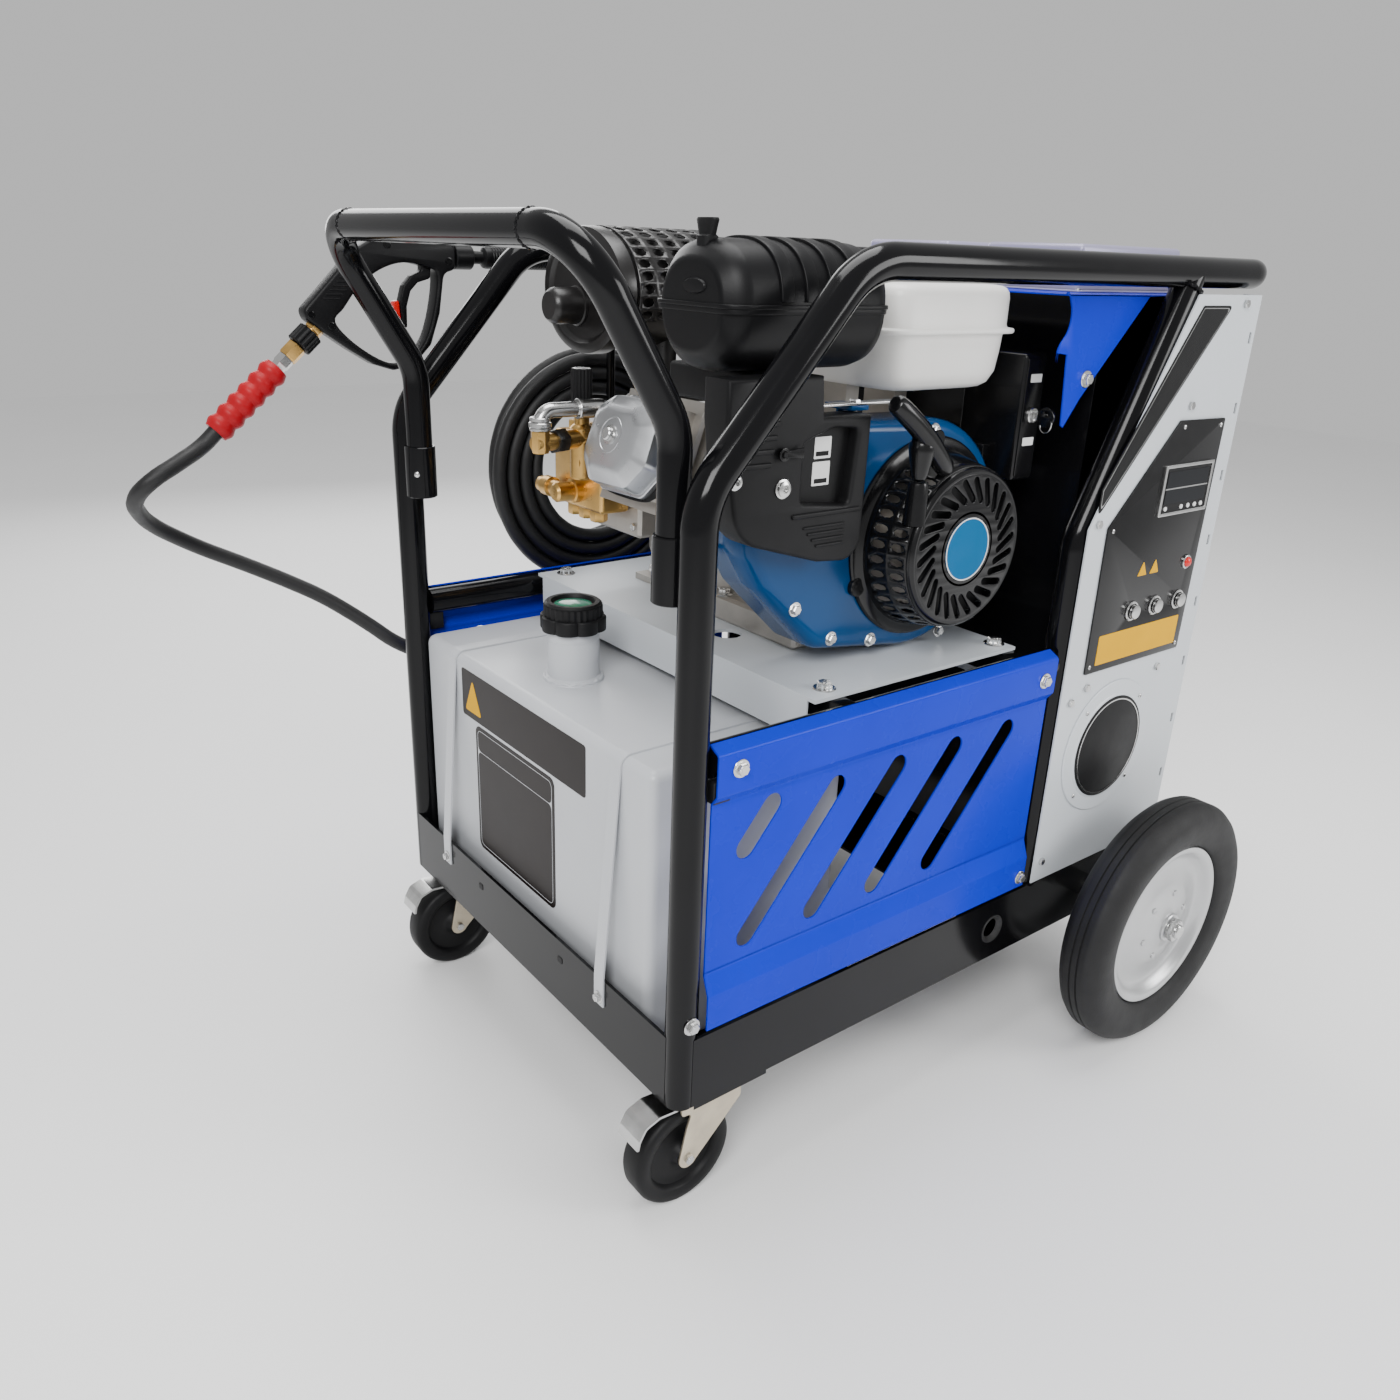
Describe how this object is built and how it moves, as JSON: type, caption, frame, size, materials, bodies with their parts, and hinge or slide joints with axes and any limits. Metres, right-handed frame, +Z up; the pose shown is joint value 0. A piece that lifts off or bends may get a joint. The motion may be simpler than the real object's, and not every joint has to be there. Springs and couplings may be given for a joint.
{
  "type": "hot-water pressure washer",
  "caption": "Petrol-engined hot-water pressure washer on a tubular trolley, with pump, diesel boiler, hose, spray gun and lance",
  "frame": {"origin": "middle of the trolley's box on the ground, measured without the hose; the hose on its hook and the run to the gun are left out", "axes": "+X from the push handle towards the big wheels and the cabinet, +Y towards the side with the hose and lance, +Z up"},
  "size_m": [1.2029, 0.8928, 1.014],
  "materials": {
    "black_enamel": "gloss black powder coat",
    "blue_enamel": "gloss royal blue powder coat",
    "grey_enamel": "satin light grey paint",
    "engine_blue": "gloss dark teal blue paint",
    "hot_steel": "heat-proof black paint",
    "black_plastic": "moulded black, fine grain",
    "white_plastic": "moulded off-white, semi-gloss",
    "cast_aluminium": "as cast",
    "bright_steel": "bright zinc plate",
    "zinc": "yellowish zinc passivate",
    "brass": "forged and machined",
    "black_rubber": "black hose cover",
    "tyre_rubber": "solid black tread",
    "red_rubber": "moulded red, satin"
  },
  "bodies": {
    "frame": {"base_frame": "black_enamel", "near_cage_tube": "black_enamel", "far_cage_tube": "black_enamel", "engine_subframe": "black_enamel", "near_skirt_panel": "blue_enamel", "far_skirt_panel": "blue_enamel", "engine_plate": "grey_enamel", "diesel_tank": "grey_enamel", "tank_straps": "grey_enamel", "near_cabinet_panel": "grey_enamel", "far_cabinet_panel": "grey_enamel", "cabinet_shell": "black_enamel", "top_cover": "blue_enamel", "exhaust_hoods": "grey_enamel", "inspection_cover": "grey_enamel", "control_plate": "black_plastic", "boiler_drum": "hot_steel", "heating_coil": "brass", "burner_blower": "engine_blue", "crankcase": "cast_aluminium", "valve_cover": "bright_steel", "blower_housing": "engine_blue", "recoil_cover": "black_plastic", "engine_fuel_tank": "white_plastic", "air_cleaner": "black_plastic", "intake_shroud": "black_plastic", "muffler": "hot_steel", "switch_box": "black_plastic", "pump_body": "cast_aluminium", "pump_manifold": "brass", "outlet_pipe": "black_rubber", "gun_body": "black_plastic", "lance": "black_plastic", "hose_coil": "black_rubber", "hose_run": "black_rubber", "hose_grip_sleeve": "red_rubber", "wheel_axle": "bright_steel"},
    "handle": {"push_handle": "black_enamel"},
    "near_wheel": {"near_rim": "bright_steel", "near_tyre": "tyre_rubber"},
    "near_caster": {"near_caster_fork": "zinc"},
    "near_caster_roller": {"near_caster_wheel": "black_plastic"},
    "near_caster_brake": {"near_caster_pedal": "bright_steel"},
    "far_wheel": {"far_rim": "bright_steel", "far_tyre": "tyre_rubber"},
    "far_caster": {"far_caster_fork": "zinc"},
    "far_caster_roller": {"far_caster_wheel": "black_plastic"},
    "far_caster_brake": {"far_caster_pedal": "bright_steel"},
    "crank": {"flywheel_and_crankshaft": "cast_aluminium"},
    "starter_grip": {"recoil_grip": "black_plastic"},
    "choke": {"choke_lever": "bright_steel"},
    "throttle": {"throttle_lever": "bright_steel"},
    "key": {"ignition_key": "bright_steel"},
    "start_push": {"start_button": "bright_steel"},
    "stop_push": {"stop_button": "bright_steel"},
    "burner_push": {"burner_button": "bright_steel"},
    "regulator_knob": {"pressure_knob": "black_plastic"},
    "filler_cap": {"tank_cap": "black_plastic"},
    "trigger": {"gun_trigger": "black_plastic"},
    "latch": {"safety_latch": "red_rubber"}
  },
  "joints": [
    {"name": "handle_lift", "type": "slide", "parent": "frame", "child": "handle", "axis": [0, 0, 1], "range_m": [0, 0.05]},
    {"name": "near_wheel_spin", "type": "hinge", "parent": "frame", "child": "near_wheel", "pos_m": [0.341, -0.4035, 0.172], "axis": [0, 1, 0], "continuous": true},
    {"name": "near_caster_swivel", "type": "hinge", "parent": "frame", "child": "near_caster", "pos_m": [-0.316, -0.2765, 0.1457], "axis": [0, 0, 1], "continuous": true},
    {"name": "near_caster_spin", "type": "hinge", "parent": "near_caster", "child": "near_caster_roller", "pos_m": [-0.357, -0.2765, 0.0625], "axis": [0, 1, 0], "continuous": true},
    {"name": "near_caster_brake_press", "type": "hinge", "parent": "near_caster", "child": "near_caster_brake", "pos_m": [-0.363, -0.2765, 0.1297], "axis": [0, -1, 0], "range_deg": [0, 6], "stiffness_Nm_per_rad": 0.1, "springref_deg": -17.19},
    {"name": "far_wheel_spin", "type": "hinge", "parent": "frame", "child": "far_wheel", "pos_m": [0.341, 0.4035, 0.172], "axis": [0, 1, 0], "continuous": true},
    {"name": "far_caster_swivel", "type": "hinge", "parent": "frame", "child": "far_caster", "pos_m": [-0.316, 0.2765, 0.1457], "axis": [0, 0, 1], "continuous": true},
    {"name": "far_caster_spin", "type": "hinge", "parent": "far_caster", "child": "far_caster_roller", "pos_m": [-0.357, 0.2765, 0.0625], "axis": [0, 1, 0], "continuous": true},
    {"name": "far_caster_brake_press", "type": "hinge", "parent": "far_caster", "child": "far_caster_brake", "pos_m": [-0.363, 0.2765, 0.1297], "axis": [0, -1, 0], "range_deg": [0, 6], "stiffness_Nm_per_rad": 0.1, "springref_deg": -17.19},
    {"name": "crank_spin", "type": "hinge", "parent": "frame", "child": "crank", "pos_m": [0.005, -0.1175, 0.6965], "axis": [0, 1, 0], "continuous": true},
    {"name": "recoil_pull", "type": "slide", "parent": "frame", "child": "starter_grip", "axis": [-0.2, -0.95, 0.24], "range_m": [0, 0.45], "stiffness_N_per_m": 15, "springref_m": -0.1},
    {"name": "choke_turn", "type": "hinge", "parent": "frame", "child": "choke", "pos_m": [-0.245, -0.2595, 0.812], "axis": [0, 1, 0], "range_deg": [0, 70]},
    {"name": "throttle_turn", "type": "hinge", "parent": "frame", "child": "throttle", "pos_m": [-0.127, -0.2285, 0.8488], "axis": [0, 0, 1], "range_deg": [-10, 10]},
    {"name": "key_turn", "type": "hinge", "parent": "frame", "child": "key", "pos_m": [0.14, -0.2468, 0.826], "axis": [0, 1, 0], "range_deg": [0, 90]},
    {"name": "start_press", "type": "slide", "parent": "frame", "child": "start_push", "axis": [0, 1, 0], "range_m": [0, 0.003], "stiffness_N_per_m": 300, "springref_m": -0.002},
    {"name": "stop_press", "type": "slide", "parent": "frame", "child": "stop_push", "axis": [0, 1, 0], "range_m": [0, 0.003], "stiffness_N_per_m": 300, "springref_m": -0.002},
    {"name": "burner_press", "type": "slide", "parent": "frame", "child": "burner_push", "axis": [0, 1, 0], "range_m": [0, 0.003], "stiffness_N_per_m": 300, "springref_m": -0.002},
    {"name": "knob_turn", "type": "hinge", "parent": "frame", "child": "regulator_knob", "pos_m": [-0.241, 0.1025, 0.8168], "axis": [0, 0, 1], "range_deg": [0, 720]},
    {"name": "tank_cap_turn", "type": "hinge", "parent": "frame", "child": "filler_cap", "pos_m": [-0.291, 0.0425, 0.5656], "axis": [0, 0, 1], "range_deg": [0, 90]},
    {"name": "trigger_pull", "type": "hinge", "parent": "frame", "child": "trigger", "pos_m": [-0.312, 0.3575, 0.963], "axis": [0, 1, 0], "range_deg": [0, 18], "stiffness_Nm_per_rad": 0.5, "springref_deg": -11.46},
    {"name": "latch_turn", "type": "hinge", "parent": "trigger", "child": "latch", "pos_m": [-0.353, 0.3575, 0.911], "axis": [0, 1, 0], "range_deg": [0, 25]}
  ]
}
